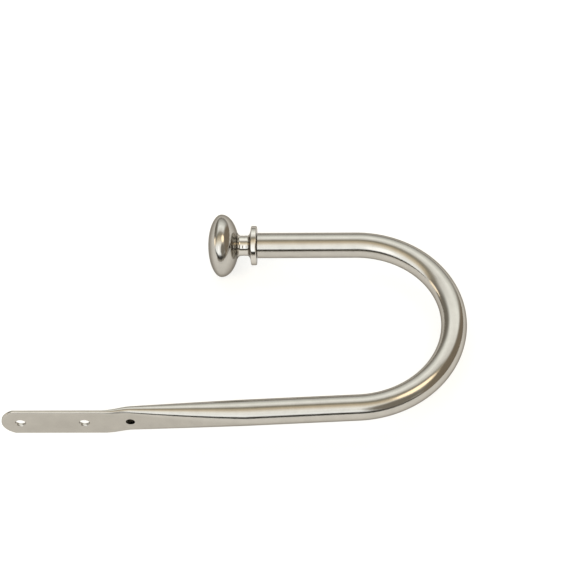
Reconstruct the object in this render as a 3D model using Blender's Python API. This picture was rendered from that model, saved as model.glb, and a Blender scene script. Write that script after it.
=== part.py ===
"""Curtain holdback: a bent steel tube, pressed flat at one end for wall screws, with a screw-on finial.

Frame: origin on the wall-side face of the flat end, midway between its two screw holes.
+X runs along the flat end towards the bend, +Y points away from the wall, +Z completes the frame.
The arm bends in the XY plane. All lengths are in metres.
"""
import math

import bmesh
import bpy
from mathutils import Vector

# Arm tube
TUBE_RADIUS = 0.008
TUBE_WALL = 0.001
BEND_RADIUS = 0.0615
LEG_TILT = math.radians(2.98)        # long leg against the flat end
AXIS_RISE = 0.0012                   # height of the leg's axis over the wall face, at the origin
BEND_START = 0.18634                 # distance along the leg's axis, from the origin to the bend
SHORT_LEG = 0.0622                   # straight tube between the bend and the finial

# Flat end
HOLE_SPACING = 0.039
HOLE_RADIUS = 0.003
TIP_TO_HOLE = 0.0115
TIP_RADIUS = 0.0126                  # the tip's arc meets the long edges at a slight corner
TIP_START_ANGLE = math.radians(8)
PLATE_THICKNESS = 0.0022
PLATE_WIDTH = 0.0230
PRESS_END_X = 0.030                  # the flat ends here and the tube starts to open
ROUND_START_X = 0.118                # the tube is fully round from here on
OPENING_POWER = 1.25                 # above 1 opens quickly first, then eases into the round tube
JOGGLE_LENGTH = 0.018                # the flat end steps over to the leg's axis within this length
CAVITY_START = 0.03                  # share of the opening stretch where the two walls part
DRAIN_HOLE_X = 0.0474
DRAIN_HOLE_RADIUS = 0.0028

# Finial, measured along its axis from the tube's end
GAP = 0.0003
FLANGE_RADIUS = 0.0125
FLANGE_END = 0.0039
FLANGE_EDGE = 0.0008
COVE_END = 0.0058
COVE_RADIUS = 0.0066
NECK_RADIUS = 0.00635
NECK_WAIST = 0.0096
LIP_END = 0.0124                     # the neck flares into a lip that follows the cap's back
LIP_RADIUS = 0.0083
NECK_END = 0.0118                    # flat end of the neck, inside the lip and clear of the cap
NECK_END_RADIUS = 0.0052
CAP_START = 0.0122
CAP_RADIUS = 0.0199
CAP_EQUATOR = 0.0227
CAP_BACK_DEPTH = 0.0109
CAP_FRONT_DEPTH = 0.0086

# Stud and threaded plug
STUD_RADIUS = 0.003
STUD_REACH = 0.0120                  # length of stud inside the tube
STUD_SEAT = 0.0240                   # stud's end inside the cap
BORE_RADIUS = STUD_RADIUS + GAP
PLUG_RADIUS = TUBE_RADIUS - TUBE_WALL - GAP
PLUG_LENGTH = 0.0125
PLUG_RECESS = 0.0004
CHAMFER = 0.0006

# Mesh density
TUBE_SIDES = 28
BEND_STEPS = 20
OPENING_STEPS = 16
TIP_STEPS = 7
TURNED_SIDES = 40
SMALL_SIDES = 24
HOLE_SIDES = 24
SHARP_ANGLE = math.radians(35)

LEG_DIRECTION = Vector((math.cos(LEG_TILT), math.sin(LEG_TILT), 0))
LEG_ORIGIN = Vector((0, AXIS_RISE, 0))
BEND_POINT = LEG_ORIGIN + LEG_DIRECTION * BEND_START
BEND_CENTRE = BEND_POINT + Vector((-math.sin(LEG_TILT), math.cos(LEG_TILT), 0)) * BEND_RADIUS
FINIAL_Y = BEND_CENTRE.y + BEND_RADIUS
TUBE_END_X = BEND_CENTRE.x - SHORT_LEG


def clear_scene():
    for item in list(bpy.data.objects):
        bpy.data.objects.remove(item, do_unlink=True)


def material(name, colour, roughness, metallic=1.0):
    made = bpy.data.materials.new(name)
    made.use_nodes = True
    shader = made.node_tree.nodes["Principled BSDF"]
    shader.inputs["Base Color"].default_value = (*colour, 1.0)
    shader.inputs["Roughness"].default_value = roughness
    shader.inputs["Metallic"].default_value = metallic
    return made


def add_object(name, bm, finish=None, parent=None):
    bmesh.ops.recalc_face_normals(bm, faces=bm.faces)
    mesh = bpy.data.meshes.new(name)
    bm.to_mesh(mesh)
    bm.free()
    mesh.shade_smooth()
    mesh.set_sharp_from_angle(angle=SHARP_ANGLE)
    if finish:
        mesh.materials.append(finish)
    made = bpy.data.objects.new(name, mesh)
    bpy.context.scene.collection.objects.link(made)
    made.parent = parent
    return made


def ease(share):
    return share * share * (3 - 2 * share)


def tube_section(centre, heading, half_width, half_thickness):
    """Points of one cross-section: two half circles joined by flats, square to the heading in the XY plane.

    The two middle edges lie exactly half_thickness from the centre, so the flat end's faces are true.
    """
    sideways = Vector((-math.sin(heading), math.cos(heading), 0))
    flat_reach = half_thickness / math.cos(math.pi / TUBE_SIDES)
    points = []
    for i in range(TUBE_SIDES):
        angle = 2 * math.pi * (i + 0.5) / TUBE_SIDES
        across = flat_reach * math.cos(angle)
        up = half_thickness * math.sin(angle)
        up += math.copysign(half_width - half_thickness, up)
        points.append(centre + sideways * across + Vector((0, 0, up)))
    return points


def tip_stations():
    """Sections along the rounded tip, which is an arc of TIP_RADIUS about the plate's middle line."""
    flat = PLATE_THICKNESS / 2
    tip_x = -HOLE_SPACING / 2 - TIP_TO_HOLE
    end_angle = math.asin(PLATE_WIDTH / 2 / TIP_RADIUS)
    stations = []
    for i in range(TIP_STEPS + 1):
        angle = TIP_START_ANGLE + (end_angle - TIP_START_ANGLE) * i / TIP_STEPS
        from_tip = TIP_RADIUS * (math.cos(TIP_START_ANGLE) - math.cos(angle))
        stations.append((Vector((tip_x + from_tip, flat, 0)), 0, TIP_RADIUS * math.sin(angle), flat))
    return stations


def opening_station(share):
    """Centre, heading, half width and half thickness where the pressed end opens into the round tube."""
    flat = PLATE_THICKNESS / 2
    opened = 1 - (1 - share) ** OPENING_POWER
    half_thickness = flat + (TUBE_RADIUS - flat) * opened
    half_width = PLATE_WIDTH / 2 + (TUBE_RADIUS - PLATE_WIDTH / 2) * opened
    x = PRESS_END_X + (ROUND_START_X - PRESS_END_X) * share
    axis_y = AXIS_RISE + x * math.tan(LEG_TILT)
    joggle = ease(min((x - PRESS_END_X) / JOGGLE_LENGTH, 1))
    y = flat + (axis_y - flat) * joggle
    return Vector((x, y, 0)), LEG_TILT * joggle, half_width, half_thickness


def bend_stations(radius):
    """The round bend, then the end of the short leg."""
    stations = []
    for i in range(BEND_STEPS + 1):
        heading = LEG_TILT + (math.pi - LEG_TILT) * i / BEND_STEPS
        outward = Vector((math.sin(heading), -math.cos(heading), 0))
        stations.append((BEND_CENTRE + outward * BEND_RADIUS, heading, radius, radius))
    stations.append((Vector((TUBE_END_X, FINIAL_Y, 0)), math.pi, radius, radius))
    return stations


def outer_stations():
    stations = tip_stations()
    for i in range(OPENING_STEPS + 1):
        stations.append(opening_station(i / OPENING_STEPS))
    return stations + bend_stations(TUBE_RADIUS)


def inner_stations():
    shares = [CAVITY_START] + [i / OPENING_STEPS for i in range(1, OPENING_STEPS + 1)]
    stations = []
    for share in shares:
        centre, heading, half_width, half_thickness = opening_station(share)
        stations.append((centre, heading, half_width - TUBE_WALL, half_thickness - TUBE_WALL))
    return stations + bend_stations(TUBE_RADIUS - TUBE_WALL)


def loft(bm, stations):
    """Skins the stations and closes the first one. Returns the last ring."""
    rings = [[bm.verts.new(p) for p in tube_section(*station)] for station in stations]
    for first, second in zip(rings, rings[1:]):
        for i in range(TUBE_SIDES):
            j = (i + 1) % TUBE_SIDES
            bm.faces.new((first[i], first[j], second[j], second[i]))
    bm.faces.new(rings[0])
    return rings[-1]


def cutter(name, x, radius, y_low, y_high):
    bm = bmesh.new()
    bmesh.ops.create_cone(bm, cap_ends=True, segments=HOLE_SIDES, radius1=radius, radius2=radius,
                          depth=y_high - y_low)
    made = add_object(name, bm)
    made.location = (x, (y_low + y_high) / 2, 0)
    made.rotation_euler = (math.pi / 2, 0, 0)
    made.hide_render = True
    made.display_type = "WIRE"
    return made


def cut(target, tool):
    boolean = target.modifiers.new(tool.name, "BOOLEAN")
    boolean.operation = "DIFFERENCE"
    boolean.solver = "EXACT"
    boolean.object = tool


def build_arm(finish):
    """One hollow tube: flat screw end, long leg, bend and short leg, open at the short leg's end."""
    bm = bmesh.new()
    outer_end = loft(bm, outer_stations())
    inner_end = loft(bm, inner_stations())
    for i in range(TUBE_SIDES):
        j = (i + 1) % TUBE_SIDES
        bm.faces.new((outer_end[i], outer_end[j], inner_end[j], inner_end[i]))
    arm = add_object("arm_tube", bm, finish)
    reach = TUBE_RADIUS
    for name, x in (("tip_hole_cutter", -HOLE_SPACING / 2), ("second_hole_cutter", HOLE_SPACING / 2)):
        cut(arm, cutter(name, x, HOLE_RADIUS, -reach, reach))
    opening_share = (DRAIN_HOLE_X - PRESS_END_X) / (ROUND_START_X - PRESS_END_X)
    cavity_y = opening_station(opening_share)[0].y
    cut(arm, cutter("drain_hole_cutter", DRAIN_HOLE_X, DRAIN_HOLE_RADIUS, -reach, cavity_y))
    return arm


def turned(name, profile, sides, finish, parent):
    """Spins a closed profile of (distance along the axis, radius) points about the finial's axis."""
    bm = bmesh.new()
    corners = [bm.verts.new((radius, 0, along)) for along, radius in profile]
    edges = [bm.edges.new((a, b)) for a, b in zip(corners, corners[1:])]
    if min(radius for _, radius in profile) > 0:
        edges.append(bm.edges.new((corners[-1], corners[0])))
    bmesh.ops.spin(bm, geom=corners + edges, axis=(0, 0, 1), cent=(0, 0, 0), angle=2 * math.pi,
                   steps=sides, use_merge=True)
    bmesh.ops.remove_doubles(bm, verts=bm.verts, dist=1e-6)
    return add_object(name, bm, finish, parent)


def build_plug(finish, parent):
    start, end = -PLUG_RECESS, -PLUG_RECESS - PLUG_LENGTH
    profile = [
        (start, BORE_RADIUS), (start, PLUG_RADIUS - CHAMFER), (start - CHAMFER, PLUG_RADIUS),
        (end + CHAMFER, PLUG_RADIUS), (end, PLUG_RADIUS - CHAMFER), (end, BORE_RADIUS),
    ]
    turned("tube_end_plug", profile, SMALL_SIDES, finish, parent)


def build_stud(finish, parent):
    profile = [
        (-STUD_REACH, 0), (-STUD_REACH, STUD_RADIUS - CHAMFER), (-STUD_REACH + CHAMFER, STUD_RADIUS),
        (STUD_SEAT - CHAMFER, STUD_RADIUS), (STUD_SEAT, STUD_RADIUS - CHAMFER), (STUD_SEAT, 0),
    ]
    turned("finial_stud", profile, SMALL_SIDES, finish, parent)


def quarter(start, end, steps, hollow=False):
    """Points after start on a quarter ellipse: along first then across, or the reverse when hollow."""
    points = []
    for i in range(1, steps + 1):
        angle = math.pi / 2 * i / steps
        low, high = math.sin(angle), 1 - math.cos(angle)
        along, across = (high, low) if hollow else (low, high)
        points.append((start[0] + (end[0] - start[0]) * along, start[1] + (end[1] - start[1]) * across))
    return points


def build_collar(finish, parent):
    """Flange with eased edges, a cove, and a waisted neck under the cap."""
    back_edge = (GAP, FLANGE_RADIUS - FLANGE_EDGE)
    back_rim = (GAP + FLANGE_EDGE, FLANGE_RADIUS)
    front_rim = (FLANGE_END - FLANGE_EDGE, FLANGE_RADIUS)
    front_edge = (FLANGE_END, FLANGE_RADIUS - FLANGE_EDGE)
    cove = (COVE_END, COVE_RADIUS)
    waist = (NECK_WAIST, NECK_RADIUS)
    profile = [(GAP, BORE_RADIUS), back_edge]
    profile += quarter(back_edge, back_rim, 2, hollow=True)
    profile.append(front_rim)
    profile += quarter(front_rim, front_edge, 2)
    profile += quarter(front_edge, cove, 5, hollow=True)
    profile += [waist]
    profile += quarter(waist, (LIP_END, LIP_RADIUS), 4)
    profile += [(NECK_END, NECK_END_RADIUS), (NECK_END, BORE_RADIUS)]
    turned("finial_collar", profile, TURNED_SIDES, finish, parent)


def cap_radius(along):
    depth = CAP_BACK_DEPTH if along < CAP_EQUATOR else CAP_FRONT_DEPTH
    return CAP_RADIUS * math.sqrt(max(1 - ((along - CAP_EQUATOR) / depth) ** 2, 0))


def build_cap(finish, parent):
    """Oblate mushroom cap: a deep half ellipse at the back, a flatter one in front, and a blind bore."""
    bore_end = STUD_SEAT + GAP
    profile = [(bore_end, 0), (bore_end, BORE_RADIUS), (CAP_START, BORE_RADIUS)]
    profile.append((CAP_START, cap_radius(CAP_START)))
    back_angle = math.asin((CAP_EQUATOR - CAP_START) / CAP_BACK_DEPTH)
    back_steps, front_steps = 9, 10
    for i in range(1, back_steps + 1):
        angle = back_angle * (1 - i / back_steps)
        profile.append((CAP_EQUATOR - CAP_BACK_DEPTH * math.sin(angle), CAP_RADIUS * math.cos(angle)))
    for i in range(1, front_steps):
        angle = math.pi / 2 * i / front_steps
        profile.append((CAP_EQUATOR + CAP_FRONT_DEPTH * math.sin(angle), CAP_RADIUS * math.cos(angle)))
    profile.append((CAP_EQUATOR + CAP_FRONT_DEPTH, 0))
    turned("finial_cap", profile, TURNED_SIDES, finish, parent)


def build():
    clear_scene()
    satin = material("satin_nickel", (0.62, 0.60, 0.57), 0.32)
    satin_cap = material("satin_nickel_cap", (0.60, 0.59, 0.57), 0.36)
    polished = material("polished_nickel", (0.74, 0.73, 0.71), 0.12)
    zinc = material("zinc_plate", (0.55, 0.57, 0.60), 0.40)
    brass = material("brass_plug", (0.70, 0.52, 0.25), 0.35)

    finial_axis = bpy.data.objects.new("finial_axis", None)
    bpy.context.scene.collection.objects.link(finial_axis)
    finial_axis.location = (TUBE_END_X, FINIAL_Y, 0)
    finial_axis.rotation_euler = (0, -math.pi / 2, 0)

    build_arm(satin)
    build_plug(brass, finial_axis)
    build_stud(zinc, finial_axis)
    build_collar(polished, finial_axis)
    build_cap(satin_cap, finial_axis)


build()
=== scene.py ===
import math

import bmesh
import bpy
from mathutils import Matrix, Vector


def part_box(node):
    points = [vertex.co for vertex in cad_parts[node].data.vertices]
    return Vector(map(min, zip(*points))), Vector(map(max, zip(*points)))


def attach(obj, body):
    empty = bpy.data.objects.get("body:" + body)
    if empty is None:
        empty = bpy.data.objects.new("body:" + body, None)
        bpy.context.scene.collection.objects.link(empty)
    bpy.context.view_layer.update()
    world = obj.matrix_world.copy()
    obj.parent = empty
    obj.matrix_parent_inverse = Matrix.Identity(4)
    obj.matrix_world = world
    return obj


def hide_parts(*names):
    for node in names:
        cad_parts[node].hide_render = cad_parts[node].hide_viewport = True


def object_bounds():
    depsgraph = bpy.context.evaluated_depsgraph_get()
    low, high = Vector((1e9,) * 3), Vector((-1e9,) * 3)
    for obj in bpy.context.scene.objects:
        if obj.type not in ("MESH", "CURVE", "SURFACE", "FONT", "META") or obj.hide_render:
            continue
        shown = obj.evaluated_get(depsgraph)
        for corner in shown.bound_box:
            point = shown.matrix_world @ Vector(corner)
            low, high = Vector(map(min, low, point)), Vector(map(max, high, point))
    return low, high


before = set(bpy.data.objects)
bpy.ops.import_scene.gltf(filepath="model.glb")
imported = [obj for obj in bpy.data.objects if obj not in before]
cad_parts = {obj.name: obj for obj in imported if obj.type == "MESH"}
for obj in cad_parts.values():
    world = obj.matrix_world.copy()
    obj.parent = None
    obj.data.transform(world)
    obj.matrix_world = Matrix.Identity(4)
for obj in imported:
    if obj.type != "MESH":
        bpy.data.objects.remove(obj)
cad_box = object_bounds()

# ---------------------------------------------------------------- sizes, in metres, from the CAD frame

arm_low, arm_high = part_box("arm_tube")
collar_low, collar_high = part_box("finial_collar")
cap_low, cap_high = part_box("finial_cap")
plug_low, plug_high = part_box("tube_end_plug")
stud_low, stud_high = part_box("finial_stud")

TUBE_RADIUS = 0.008
TUBE_WALL = 0.001
BEND_RADIUS = 0.0615
LEG_TILT = math.radians(2.98)
AXIS_RISE = 0.0012
BEND_START = 0.18634
HOLE_SPACING = 0.039
HOLE_RADIUS = 0.003
TIP_RADIUS = 0.0126
TIP_START_ANGLE = math.radians(8)
PLATE_THICKNESS = 0.0022
PLATE_WIDTH = arm_high.z - arm_low.z
PRESS_END_X = 0.030
ROUND_START_X = 0.118
OPENING_POWER = 1.25
JOGGLE_LENGTH = 0.018
DRAIN_HOLE_X = 0.0474
DRAIN_HOLE_RADIUS = 0.0028
GAP = 0.0003
STUD_RADIUS = 0.003
THREAD_PITCH = 0.001
CAP_START = 0.0122                   # along the finial's axis, from the tube's end
CAP_EQUATOR = 0.0227                 # likewise, where the cap is widest
CAP_BACK_DEPTH = 0.0109              # half axis of the ellipse behind the equator

LEG_DIRECTION = Vector((math.cos(LEG_TILT), math.sin(LEG_TILT), 0))
BEND_POINT = Vector((0, AXIS_RISE, 0)) + LEG_DIRECTION * BEND_START
BEND_CENTRE = BEND_POINT + Vector((-math.sin(LEG_TILT), math.cos(LEG_TILT), 0)) * BEND_RADIUS
TUBE_END = Vector((collar_high.x + GAP, (cap_low.y + cap_high.y) / 2, 0))
CAP_RADIUS = (cap_high.y - cap_low.y) / 2
CAP_FRONT = TUBE_END.x - cap_low.x


# ---------------------------------------------------------------- material helpers

EDGE_TINT = (0.34, 0.32, 0.30)       # the metals darken towards a grazing view
NOISE_RANGE = (0.3, 0.7)


class Shader:
    """A Principled material whose helpers each add one small group of nodes."""

    def __init__(self, name, colour, roughness, metallic=1.0):
        self.material = bpy.data.materials.new(name)
        self.material.use_nodes = True
        self.tree = self.material.node_tree
        self.principled = self.tree.nodes["Principled BSDF"]
        self.principled.inputs["Metallic"].default_value = metallic
        if metallic:
            self.principled.inputs["Specular Tint"].default_value = (*EDGE_TINT, 1)
        self.colour = colour
        self.roughness = roughness

    def node(self, kind):
        return self.tree.nodes.new(kind)

    def link(self, start, end):
        self.tree.links.new(start, end)

    def coordinates(self, stretch, source="UV"):
        place = self.node("ShaderNodeTexCoord")
        mapping = self.node("ShaderNodeMapping")
        mapping.inputs["Scale"].default_value = stretch
        self.link(place.outputs[source], mapping.inputs["Vector"])
        return mapping.outputs["Vector"]

    def noise(self, vector, scale, detail=3.0, roughness=0.55):
        texture = self.node("ShaderNodeTexNoise")
        texture.inputs["Scale"].default_value = scale
        texture.inputs["Detail"].default_value = detail
        texture.inputs["Roughness"].default_value = roughness
        self.link(vector, texture.inputs["Vector"])
        return texture.outputs["Fac"]

    def spread(self, value, low, high):
        """Maps a noise value, which is mostly within NOISE_RANGE, to the range low to high."""
        mapped = self.node("ShaderNodeMapRange")
        mapped.inputs["From Min"].default_value = NOISE_RANGE[0]
        mapped.inputs["From Max"].default_value = NOISE_RANGE[1]
        mapped.inputs["To Min"].default_value = low
        mapped.inputs["To Max"].default_value = high
        self.link(value, mapped.inputs["Value"])
        return mapped.outputs["Result"]

    def tint(self, value, change):
        """Base colour that drifts between a darker and a lighter version of itself."""
        mix = self.node("ShaderNodeMix")
        mix.data_type = "RGBA"
        darker, lighter = [socket for socket in mix.inputs if socket.type == "RGBA"]
        darker.default_value = (*[c * (1 - change) for c in self.colour], 1)
        lighter.default_value = (*[min(c * (1 + change), 1) for c in self.colour], 1)
        self.link(value, mix.inputs["Factor"])
        result = [socket for socket in mix.outputs if socket.type == "RGBA"][0]
        self.link(result, self.principled.inputs["Base Color"])

    def rough(self, value, change):
        mapped = self.spread(value, self.roughness * (1 - change), self.roughness * (1 + change))
        self.link(mapped, self.principled.inputs["Roughness"])

    def bump(self, value, height, after=None):
        bump = self.node("ShaderNodeBump")
        bump.inputs["Distance"].default_value = height
        bump.inputs["Strength"].default_value = 1.0
        self.link(value, bump.inputs["Height"])
        if after:
            self.link(after, bump.inputs["Normal"])
        self.link(bump.outputs["Normal"], self.principled.inputs["Normal"])
        return bump.outputs["Normal"]


LINE_DETAIL, LINE_ROUGHNESS = 4.0, 0.6
CLOUD_SCALE = 90.0                   # slow unevenness under the finish, per metre
PIT_SCALE = 1600.0                   # small pits, per metre
PIT_DETAIL, PIT_ROUGHNESS = 2.0, 0.4
PIT_SHARE = 0.8                      # depth of the pits against the brush lines
COLOUR_CHANGE = 0.05
ROUGHNESS_CHANGE = 0.22


def brushed_metal(name, colour, roughness, stretch, grain, ripple):
    """Satin metal: long fine brush lines, a slow unevenness under the finish, and small pits.

    The stretch is noise cells per metre around and along the piece. Grain and ripple are heights in metres.
    """
    shader = Shader(name, colour, roughness)
    lines = shader.noise(shader.coordinates(stretch), 1.0, LINE_DETAIL, LINE_ROUGHNESS)
    even = shader.coordinates((1, 1, 1))
    clouds = shader.noise(even, CLOUD_SCALE)
    pits = shader.noise(even, PIT_SCALE, PIT_DETAIL, PIT_ROUGHNESS)
    shader.tint(shader.spread(clouds, 0, 1), COLOUR_CHANGE)
    shader.rough(lines, ROUGHNESS_CHANGE)
    lined = shader.bump(lines, grain)
    pitted = shader.bump(pits, grain * PIT_SHARE, lined)
    shader.bump(clouds, ripple, pitted)
    return shader.material


SATIN = brushed_metal("satin_nickel_look", (0.465, 0.442, 0.402), 0.14, (2600, 60, 1), 8e-6, 6e-5)
SATIN_CAP = brushed_metal("satin_cap_look", (0.465, 0.445, 0.408), 0.15, (60, 2600, 1), 3e-6, 2e-5)
POLISHED = brushed_metal("polished_nickel_look", (0.56, 0.535, 0.49), 0.06, (60, 3000, 1), 2e-6, 1e-5)
ZINC = brushed_metal("zinc_thread_look", (0.52, 0.54, 0.57), 0.30, (400, 400, 1), 4e-6, 1e-5)
BRASS = brushed_metal("brass_insert_look", (0.72, 0.52, 0.24), 0.28, (300, 2000, 1), 4e-6, 1e-5)


# ---------------------------------------------------------------- mesh helpers

SHARP_ANGLE = math.radians(32)
THREAD_SHARP_ANGLE = math.radians(60)


def finish_mesh(name, bm, look, sharp=SHARP_ANGLE):
    bmesh.ops.recalc_face_normals(bm, faces=bm.faces)
    mesh = bpy.data.meshes.new(name)
    bm.to_mesh(mesh)
    bm.free()
    mesh.shade_smooth()
    mesh.set_sharp_from_angle(angle=sharp)
    mesh.materials.append(look)
    made = bpy.data.objects.new(name, mesh)
    bpy.context.scene.collection.objects.link(made)
    return made


def skin(bm, rings, lengths, around):
    """Quads between rings of equal length, with U and V in metres around and along the piece."""
    layer = bm.loops.layers.uv.verify()
    loops = [[bm.verts.new(p) for p in ring] for ring in rings]
    count = len(loops[0])
    for row in range(len(loops) - 1):
        for i in range(count):
            j = (i + 1) % count
            corners = (loops[row][i], loops[row][j], loops[row + 1][j], loops[row + 1][i])
            places = ((i, row), (i + 1, row), (i + 1, row + 1), (i, row + 1))
            face = bm.faces.new(corners)
            for loop, (column, level) in zip(face.loops, places):
                loop[layer].uv = (around * column / count, lengths[level])
    return loops


def path_lengths(points):
    total, lengths = 0, [0]
    for a, b in zip(points, points[1:]):
        total += (b - a).length
        lengths.append(total)
    return lengths


# ---------------------------------------------------------------- the arm

QUARTER_POINTS = 22
TIP_STEPS = 24
FLAT_STEPS = 30
OPENING_STEPS = 60
LEG_STEPS = 12
BEND_STEPS = 110
SHORT_LEG_STEPS = 8
HOLE_SIDES = 64
ARC_SHARE = 2.5                      # how much denser the points are on a section's round edge
TIP_EDGE = 0.0003                    # softening of the tip's end, over its first sections
TIP_EDGE_STEPS = 3
TUBE_RIM = 0.0002
FLARE_DEPTH = 0.00035                # how deep the eased edge goes into a screw hole
DRILL_REACH = 0.006                  # length of a drill past the metal on each side
FLARE_GROWTH = 0.00601               # what a flared drill's radius gains over its reach


def ease(share):
    return share * share * (3 - 2 * share)


def quarter_section(half_width, half_thickness):
    """A quarter of the section, from the middle of the flat to the edge, denser on the round edge."""
    flat = half_width - half_thickness
    arc = half_thickness * math.pi / 2
    split = flat / (flat + ARC_SHARE * arc)
    points = []
    for i in range(QUARTER_POINTS):
        share = i / QUARTER_POINTS
        if share < split:
            points.append((half_thickness, flat * share / split))
        else:
            angle = math.pi / 2 * (share - split) / (1 - split)
            points.append((half_thickness * math.cos(angle), flat + half_thickness * math.sin(angle)))
    return points + [(0, half_width)]


def tube_section(centre, heading, half_width, half_thickness):
    sideways = Vector((-math.sin(heading), math.cos(heading), 0))
    quarter = quarter_section(half_width, half_thickness)
    loop = quarter[:-1]
    loop += [(-across, up) for across, up in reversed(quarter[1:])]
    loop += [(-across, -up) for across, up in quarter[:-1]]
    loop += [(across, -up) for across, up in reversed(quarter[1:])]
    return [centre + sideways * across + Vector((0, 0, up)) for across, up in loop]


def opening_station(share):
    flat = PLATE_THICKNESS / 2
    opened = 1 - (1 - share) ** OPENING_POWER
    half_thickness = flat + (TUBE_RADIUS - flat) * opened
    half_width = PLATE_WIDTH / 2 + (TUBE_RADIUS - PLATE_WIDTH / 2) * opened
    x = PRESS_END_X + (ROUND_START_X - PRESS_END_X) * share
    axis_y = AXIS_RISE + x * math.tan(LEG_TILT)
    joggle = ease(min((x - PRESS_END_X) / JOGGLE_LENGTH, 1))
    y = flat + (axis_y - flat) * joggle
    return Vector((x, y, 0)), LEG_TILT * joggle, half_width, half_thickness


def tip_stations():
    """The rounded tip, an arc about the plate's middle line, with a soft edge where it starts."""
    flat = PLATE_THICKNESS / 2
    end_angle = math.asin(PLATE_WIDTH / 2 / TIP_RADIUS)
    stations = []
    for i in range(TIP_STEPS + 1):
        angle = TIP_START_ANGLE + (end_angle - TIP_START_ANGLE) * i / TIP_STEPS
        from_tip = TIP_RADIUS * (math.cos(TIP_START_ANGLE) - math.cos(angle))
        soft = TIP_EDGE * max(1 - i / TIP_EDGE_STEPS, 0) ** 2
        centre = Vector((arm_low.x + from_tip, flat, 0))
        stations.append((centre, 0, TIP_RADIUS * math.sin(angle) - soft, flat - soft))
    return stations


def round_stations(radius):
    """Long leg, bend and short leg at full roundness."""
    start = Vector((ROUND_START_X, AXIS_RISE + ROUND_START_X * math.tan(LEG_TILT), 0))
    stations = []
    for i in range(1, LEG_STEPS):
        stations.append((start.lerp(BEND_POINT, i / LEG_STEPS), LEG_TILT, radius, radius))
    for i in range(BEND_STEPS + 1):
        heading = LEG_TILT + (math.pi - LEG_TILT) * i / BEND_STEPS
        outward = Vector((math.sin(heading), -math.cos(heading), 0))
        stations.append((BEND_CENTRE + outward * BEND_RADIUS, heading, radius, radius))
    end = Vector((BEND_CENTRE.x, TUBE_END.y, 0))
    for i in range(1, SHORT_LEG_STEPS + 1):
        stations.append((end.lerp(TUBE_END, i / SHORT_LEG_STEPS), math.pi, radius, radius))
    return stations


def outer_stations():
    stations = tip_stations()
    tip_end = stations[-1][0]
    for i in range(1, FLAT_STEPS):
        centre = tip_end.lerp(Vector((PRESS_END_X, tip_end.y, 0)), i / FLAT_STEPS)
        stations.append((centre, 0, PLATE_WIDTH / 2, PLATE_THICKNESS / 2))
    stations += [opening_station(i / OPENING_STEPS) for i in range(OPENING_STEPS + 1)]
    stations += round_stations(TUBE_RADIUS)
    rim_radius = TUBE_RADIUS - TUBE_RIM
    stations[-1] = (TUBE_END + Vector((TUBE_RIM, 0, 0)), math.pi, TUBE_RADIUS, TUBE_RADIUS)
    stations.append((TUBE_END, math.pi, rim_radius, rim_radius))
    return stations


def inner_stations():
    """The cavity, at every second section of the opening. It starts where the two walls have parted."""
    stations = []
    for i in range(2, OPENING_STEPS + 1, 2):
        centre, heading, half_width, half_thickness = opening_station(i / OPENING_STEPS)
        stations.append((centre, heading, half_width - TUBE_WALL, half_thickness - TUBE_WALL))
    return stations + round_stations(TUBE_RADIUS - TUBE_WALL)


def drill(x, profile):
    """A round tool square to the wall, from (height over the wall face, radius) points."""
    bm = bmesh.new()
    rings = []
    for y, radius in profile:
        turn = [2 * math.pi * i / HOLE_SIDES for i in range(HOLE_SIDES)]
        rings.append([Vector((x + radius * math.cos(a), y, radius * math.sin(a))) for a in turn])
    loops = skin(bm, rings, list(range(len(rings))), 1)
    bm.faces.new(loops[0])
    bm.faces.new(loops[-1])
    return finish_mesh("drill", bm, SATIN)


def screw_hole_drill(x):
    """Flared at both ends, which eases the two edges of the screw hole."""
    flared = HOLE_RADIUS + FLARE_GROWTH
    return drill(x, (
        (-DRILL_REACH, flared), (FLARE_DEPTH, HOLE_RADIUS),
        (PLATE_THICKNESS - FLARE_DEPTH, HOLE_RADIUS), (PLATE_THICKNESS + DRILL_REACH, flared),
    ))


def drain_hole_drill():
    """Goes through the wall-side wall only, as far as the middle of the cavity."""
    share = (DRAIN_HOLE_X - PRESS_END_X) / (ROUND_START_X - PRESS_END_X)
    middle = opening_station(share)[0].y
    return drill(DRAIN_HOLE_X, ((-DRILL_REACH, DRAIN_HOLE_RADIUS), (middle, DRAIN_HOLE_RADIUS)))


def cut(target, tool):
    boolean = target.modifiers.new("cut", "BOOLEAN")
    boolean.operation = "DIFFERENCE"
    boolean.solver = "EXACT"
    boolean.object = tool
    bpy.context.view_layer.update()
    evaluated = target.evaluated_get(bpy.context.evaluated_depsgraph_get())
    mesh = bpy.data.meshes.new_from_object(evaluated)
    target.modifiers.clear()
    target.data = mesh
    bpy.data.objects.remove(tool)


def build_arm():
    bm = bmesh.new()
    around = 2 * math.pi * TUBE_RADIUS
    outer, inner = outer_stations(), inner_stations()
    skins = []
    for stations in (outer, inner):
        rings = [tube_section(*station) for station in stations]
        loops = skin(bm, rings, path_lengths([station[0] for station in stations]), around)
        bm.faces.new(loops[0])
        skins.append(loops[-1])
    count = len(skins[0])
    for i in range(count):
        j = (i + 1) % count
        bm.faces.new((skins[0][i], skins[0][j], skins[1][j], skins[1][i]))
    arm = finish_mesh("arm", bm, SATIN)
    for x in (-HOLE_SPACING / 2, HOLE_SPACING / 2):
        cut(arm, screw_hole_drill(x))
    cut(arm, drain_hole_drill())
    arm.data.set_sharp_from_angle(angle=SHARP_ANGLE)
    return arm


# ---------------------------------------------------------------- the finial, turned about its axis

TURNED_SIDES = 128
CAP_STEPS = 40
EDGE_STEPS = 8
NECK_STEPS = 8
MERGE_DISTANCE = 3e-6
AXIS_RADIUS = 1e-6                   # stands in for a radius of 0, and is merged away

FLANGE_FACE = 0.0040
FLANGE_EDGE = 0.0008
NECK_END = (0.0120, 0.0052)
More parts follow.
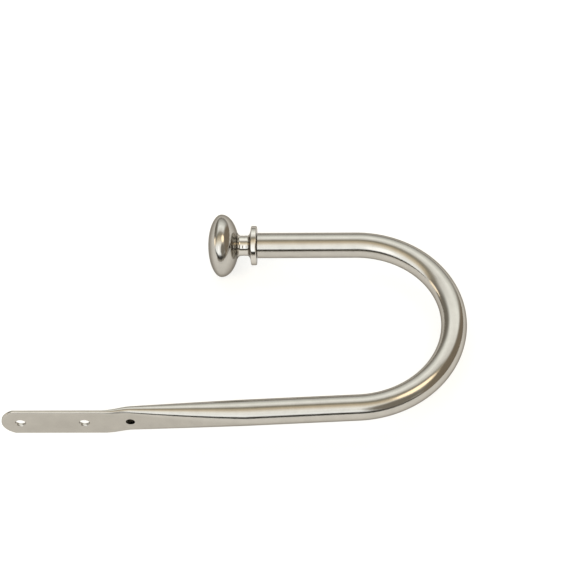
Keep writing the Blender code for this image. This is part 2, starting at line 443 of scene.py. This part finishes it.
# From the flange's face to the lip behind the cap: (distance from the tube's end, radius)
NECK = (
    (0.0043, 0.0098), (0.0049, 0.0079), (0.0057, 0.0067), (0.0064, 0.00641), (0.0073, 0.00648),
    (0.0085, 0.00633), (0.0097, 0.00646), (0.0106, 0.00640), (0.0114, 0.00668), (0.0121, 0.00735),
    (0.0126, 0.0083),
)

STUD_SIDES = 48
STUD_THREAD_DEPTH = 0.00061
STUD_ROWS_PER_PITCH = 12
PLUG_SIDES = 96
PLUG_THREAD_DEPTH = 0.00025
PLUG_ROWS_PER_PITCH = 8
PLUG_EDGE = 0.0004
KNURL_DEPTH = 0.0001
PLUG_MERGE_DISTANCE = 2e-6
STUD_ROW_LENGTH, PLUG_ROW_LENGTH = 0.0001, 0.0002     # nominal length of a row, for its V coordinate


def turned_point(along, radius, angle):
    return Vector((TUBE_END.x - along, TUBE_END.y + radius * math.cos(angle), radius * math.sin(angle)))


def turned(name, profile, look, closed=True):
    """Turns (along, radius) points about the finial's axis. A point on the axis closes its end."""
    bm = bmesh.new()
    points = list(profile) + ([profile[0]] if closed else [])
    angles = [2 * math.pi * i / TURNED_SIDES for i in range(TURNED_SIDES)]
    rings = [[turned_point(along, max(radius, AXIS_RADIUS), a) for a in angles] for along, radius in points]
    lengths = path_lengths([Vector((along, radius, 0)) for along, radius in points])
    widest = max(radius for _, radius in points)
    skin(bm, rings, lengths, 2 * math.pi * widest)
    bmesh.ops.remove_doubles(bm, verts=bm.verts, dist=MERGE_DISTANCE)
    return finish_mesh(name, bm, look)


def curve(points, steps):
    """Smooth curve through the points (Catmull-Rom), with the given steps between two points."""
    padded = [points[0]] + list(points) + [points[-1]]
    result = []
    for k in range(1, len(padded) - 2):
        p0, p1, p2, p3 = [Vector((*padded[k + d], 0)) for d in (-1, 0, 1, 2)]
        for i in range(steps):
            t = i / steps
            place = p1 * 2 + (p2 - p0) * t + (p0 * 2 - p1 * 5 + p2 * 4 - p3) * t * t
            place += (p1 * 3 - p0 - p2 * 3 + p3) * t * t * t
            result.append((place.x / 2, place.y / 2))
    return result + [tuple(points[-1])]


def build_collar():
    """Flange with eased rims, a steep cove, a neck with two faint turned rings, and a lip behind the cap."""
    bore = STUD_RADIUS + GAP
    inner_rim = (collar_high.y - collar_low.y) / 2 - FLANGE_EDGE
    profile = [(GAP, bore)]
    for along, first in ((GAP + FLANGE_EDGE, math.pi), (FLANGE_FACE - FLANGE_EDGE, math.pi / 2)):
        for i in range(EDGE_STEPS + 1):
            angle = first - math.pi / 2 * i / EDGE_STEPS
            profile.append((along + FLANGE_EDGE * math.cos(angle), inner_rim + FLANGE_EDGE * math.sin(angle)))
    profile += curve([(FLANGE_FACE, inner_rim), *NECK], NECK_STEPS)[1:]
    profile += [NECK_END, (NECK_END[0], bore)]
    return turned("collar", profile, POLISHED)


def build_cap():
    """Mushroom cap: half an ellipse behind the equator, a flatter one in front, and a blind bore."""
    bore = STUD_RADIUS + GAP
    seat = TUBE_END.x - stud_low.x + GAP
    profile = [(seat, 0), (seat, bore), (CAP_START, bore)]
    back_angle = math.asin((CAP_EQUATOR - CAP_START) / CAP_BACK_DEPTH)
    front = CAP_FRONT - CAP_EQUATOR
    for i in range(CAP_STEPS):
        angle = back_angle * (1 - i / CAP_STEPS)
        profile.append((CAP_EQUATOR - CAP_BACK_DEPTH * math.sin(angle), CAP_RADIUS * math.cos(angle)))
    for i in range(CAP_STEPS):
        angle = math.pi / 2 * i / CAP_STEPS
        profile.append((CAP_EQUATOR + front * math.sin(angle), CAP_RADIUS * math.cos(angle)))
    profile.append((CAP_FRONT, 0))
    return turned("cap", profile, SATIN_CAP, closed=False)


def threaded_rings(start, end, crest, depth, sides, rows_per_pitch):
    """Rings of a right-hand thread's surface. It tapers away over the first pitch at each end."""
    rows = int(abs(end - start) / THREAD_PITCH * rows_per_pitch)
    rings = []
    for row in range(rows + 1):
        along = start + (end - start) * row / rows
        from_end = min(abs(along - start), abs(end - along))
        fade = min(from_end / THREAD_PITCH, 1)
        ring = []
        for i in range(sides):
            angle = 2 * math.pi * i / sides
            phase = (along / THREAD_PITCH + i / sides) % 1
            groove = 1 - abs(2 * phase - 1)
            ring.append(turned_point(along, crest - depth * (groove * fade + (1 - fade)), angle))
        rings.append(ring)
    return rings


def build_stud():
    bm = bmesh.new()
    start, end = TUBE_END.x - stud_high.x, TUBE_END.x - stud_low.x
    rings = threaded_rings(start, end, STUD_RADIUS, STUD_THREAD_DEPTH, STUD_SIDES, STUD_ROWS_PER_PITCH)
    lengths = [STUD_ROW_LENGTH * i for i in range(len(rings))]
    loops = skin(bm, rings, lengths, 2 * math.pi * STUD_RADIUS)
    bm.faces.new(loops[0])
    bm.faces.new(loops[-1])
    return finish_mesh("stud", bm, ZINC, THREAD_SHARP_ANGLE)


def build_plug():
    """Brass insert: a knurled outside, eased edges and a threaded bore."""
    start, end = TUBE_END.x - plug_high.x, TUBE_END.x - plug_low.x
    radius = (plug_high.y - plug_low.y) / 2
    outside = []
    edges = ((start, PLUG_EDGE), (start + PLUG_EDGE, 0), (end - PLUG_EDGE, 0), (end, PLUG_EDGE))
    for along, inset in edges:
        ring = []
        for i in range(PLUG_SIDES):
            knurl = KNURL_DEPTH if i % 2 else 0
            ring.append(turned_point(along, radius - inset - knurl, 2 * math.pi * i / PLUG_SIDES))
        outside.append(ring)
    bore = STUD_RADIUS + GAP
    inside = threaded_rings(end, start, bore, PLUG_THREAD_DEPTH, PLUG_SIDES, PLUG_ROWS_PER_PITCH)
    bm = bmesh.new()
    rings = outside + inside + [outside[0]]
    skin(bm, rings, [PLUG_ROW_LENGTH * i for i in range(len(rings))], 2 * math.pi * radius)
    bmesh.ops.remove_doubles(bm, verts=bm.verts, dist=PLUG_MERGE_DISTANCE)
    return finish_mesh("plug", bm, BRASS, THREAD_SHARP_ANGLE)


# Maker, body it rides on, CAD node it replaces, material slot
PIECES = (
    (build_arm, "arm", "arm_tube", "satin_nickel"),
    (build_plug, "arm", "tube_end_plug", "brass_insert"),
    (build_collar, "collar", "finial_collar", "polished_nickel"),
    (build_cap, "cap", "finial_cap", "satin_cap"),
    (build_stud, "cap", "finial_stud", "zinc_steel"),
)

for make, body, node, slot in PIECES:
    piece = make()
    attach(piece, body)
    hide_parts(node)


# ---------------------------------------------------------------- floor, light and camera

FLOOR_REACH = 4.0
FLOOR_GAP = 0.0002                   # under the lowest point of the part
FLOOR_COLOUR = (0.50, 0.50, 0.50)
FLOOR_ROUGHNESS = 0.9
FLOOR_CLOUD_SCALE = 3.0
FLOOR_CLOUD_CHANGE = 0.01
FLOOR_GLOW = (1, 1, 0.985, 1)
FLOOR_GLOW_STRENGTH = 0.64


def build_floor():
    mesh = bpy.data.meshes.new("floor")
    height = cad_box[0][2] - FLOOR_GAP
    signs = ((-1, -1), (1, -1), (1, 1), (-1, 1))
    mesh.from_pydata([(x * FLOOR_REACH, y * FLOOR_REACH, height) for x, y in signs], [], [(0, 1, 2, 3)])
    floor = bpy.data.objects.new("floor", mesh)
    bpy.context.scene.collection.objects.link(floor)
    shader = Shader("floor_look", FLOOR_COLOUR, FLOOR_ROUGHNESS, 0.0)
    clouds = shader.noise(shader.coordinates((1, 1, 1), "Object"), FLOOR_CLOUD_SCALE)
    shader.tint(clouds, FLOOR_CLOUD_CHANGE)
    shader.principled.inputs["Roughness"].default_value = shader.roughness
    shader.principled.inputs["Emission Color"].default_value = FLOOR_GLOW
    shader.principled.inputs["Emission Strength"].default_value = FLOOR_GLOW_STRENGTH
    mesh.materials.append(shader.material)


# Studio light by angle, from the front horizon (0) over the top (0.5) to the back horizon (1)
SKY = (
    (0.00, (0.06, 0.057, 0.050)),
    (0.078, (0.06, 0.057, 0.050)),
    (0.120, (1.80, 1.88, 1.92)),
    (0.30, (1.68, 1.70, 1.68)),
    (0.37, (1.42, 1.36, 1.20)),
    (0.425, (1.12, 1.00, 0.78)),
    (0.475, (0.90, 0.79, 0.59)),
    (0.525, (0.50, 0.45, 0.35)),
    (0.565, (0.48, 0.45, 0.38)),
    (0.64, (1.30, 1.31, 1.27)),
    (0.72, (1.62, 1.66, 1.62)),
    (0.81, (1.26, 1.29, 1.24)),
    (0.89, (0.85, 0.86, 0.82)),
    (1.00, (0.35, 0.33, 0.30)),
)
SKY_STRENGTH = 2.5
# Soft-edged patches in the room: direction, inner and outer radius in degrees, colour
PATCHES = (
    ((1.0, 0.10, 0.15), 34, 50, (0.34, 0.285, 0.215)),
    ((0.50, -0.66, 0.52), 16, 30, (0.34, 0.31, 0.26)),
    ((-0.87, 0.48, 0.10), 14, 46, (0.30, 0.28, 0.24)),
    ((0.49, -0.11, 0.86), 10, 15, (2.8, 2.35, 1.7)),
    ((-0.99, 0.10, 0.10), 7, 11, (2.3, 2.0, 1.55)),
    ((-0.42, -0.74, 0.53), 12, 18, (2.2, 2.25, 2.3)),
)
BACKDROP = 0.97                      # grey level that the camera sees behind the floor

LENS_LENGTH, SENSOR_WIDTH = 162.06, 36.0     # millimetres
CLIP_START, CLIP_END = 0.05, 50
CAMERA_PLACE = (0.2128, -0.8514, 1.3169)
CAMERA_TURN = (math.radians(35.88), math.radians(2.20), math.radians(1.286))


def build_world():
    world = bpy.data.worlds.new("studio")
    bpy.context.scene.world = world
    world.use_nodes = True
    nodes, links = world.node_tree.nodes, world.node_tree.links
    nodes.clear()

    def maths(operation, first, second):
        made = nodes.new("ShaderNodeMath")
        made.operation = operation
        for socket, value in zip(made.inputs, (first, second)):
            if isinstance(value, (int, float)):
                socket.default_value = value
            else:
                links.new(value, socket)
        return made.outputs[0]

    place = nodes.new("ShaderNodeTexCoord")
    split = nodes.new("ShaderNodeSeparateXYZ")
    links.new(place.outputs["Generated"], split.inputs[0])
    angle = maths("ARCTAN2", split.outputs["Z"], maths("MULTIPLY", split.outputs["Y"], -1.0))
    ramp = nodes.new("ShaderNodeValToRGB")
    ramp.color_ramp.interpolation = "EASE"
    elements = ramp.color_ramp.elements
    elements[0].position, elements[1].position = SKY[0][0], SKY[-1][0]
    for position, _ in SKY[1:-1]:
        elements.new(position)
    for element, (_, colour) in zip(elements, SKY):
        element.color = (*[c / SKY_STRENGTH for c in colour], 1)
    links.new(maths("DIVIDE", angle, math.pi), ramp.inputs[0])

    light = ramp.outputs[0]
    for direction, inner, outer, colour in PATCHES:
        towards = nodes.new("ShaderNodeVectorMath")
        towards.operation = "DOT_PRODUCT"
        links.new(place.outputs["Generated"], towards.inputs[0])
        towards.inputs[1].default_value = Vector(direction).normalized()
        inside = nodes.new("ShaderNodeMapRange")
        inside.interpolation_type = "SMOOTHSTEP"
        inside.inputs["From Min"].default_value = math.cos(math.radians(outer))
        inside.inputs["From Max"].default_value = math.cos(math.radians(inner))
        links.new(towards.outputs["Value"], inside.inputs["Value"])
        patch = nodes.new("ShaderNodeMixRGB")
        links.new(inside.outputs["Result"], patch.inputs["Fac"])
        links.new(light, patch.inputs["Color1"])
        patch.inputs["Color2"].default_value = (*[c / SKY_STRENGTH for c in colour], 1)
        light = patch.outputs[0]

    studio = nodes.new("ShaderNodeBackground")
    studio.inputs["Strength"].default_value = SKY_STRENGTH
    links.new(light, studio.inputs["Color"])
    backdrop = nodes.new("ShaderNodeBackground")
    backdrop.inputs["Color"].default_value = (BACKDROP, BACKDROP, BACKDROP, 1)
    path = nodes.new("ShaderNodeLightPath")
    mix = nodes.new("ShaderNodeMixShader")
    links.new(path.outputs["Is Camera Ray"], mix.inputs[0])
    links.new(studio.outputs[0], mix.inputs[1])
    links.new(backdrop.outputs[0], mix.inputs[2])
    output = nodes.new("ShaderNodeOutputWorld")
    links.new(mix.outputs[0], output.inputs[0])
    bpy.context.scene.view_settings.view_transform = "Standard"


def build_camera():
    lens = bpy.data.cameras.new("camera")
    lens.sensor_width = SENSOR_WIDTH
    lens.lens = LENS_LENGTH
    lens.dof.use_dof = False
    lens.clip_start, lens.clip_end = CLIP_START, CLIP_END
    camera = bpy.data.objects.new("camera", lens)
    bpy.context.scene.collection.objects.link(camera)
    camera.location = CAMERA_PLACE
    camera.rotation_euler = CAMERA_TURN
    bpy.context.scene.camera = camera


build_floor()
build_world()
build_camera()
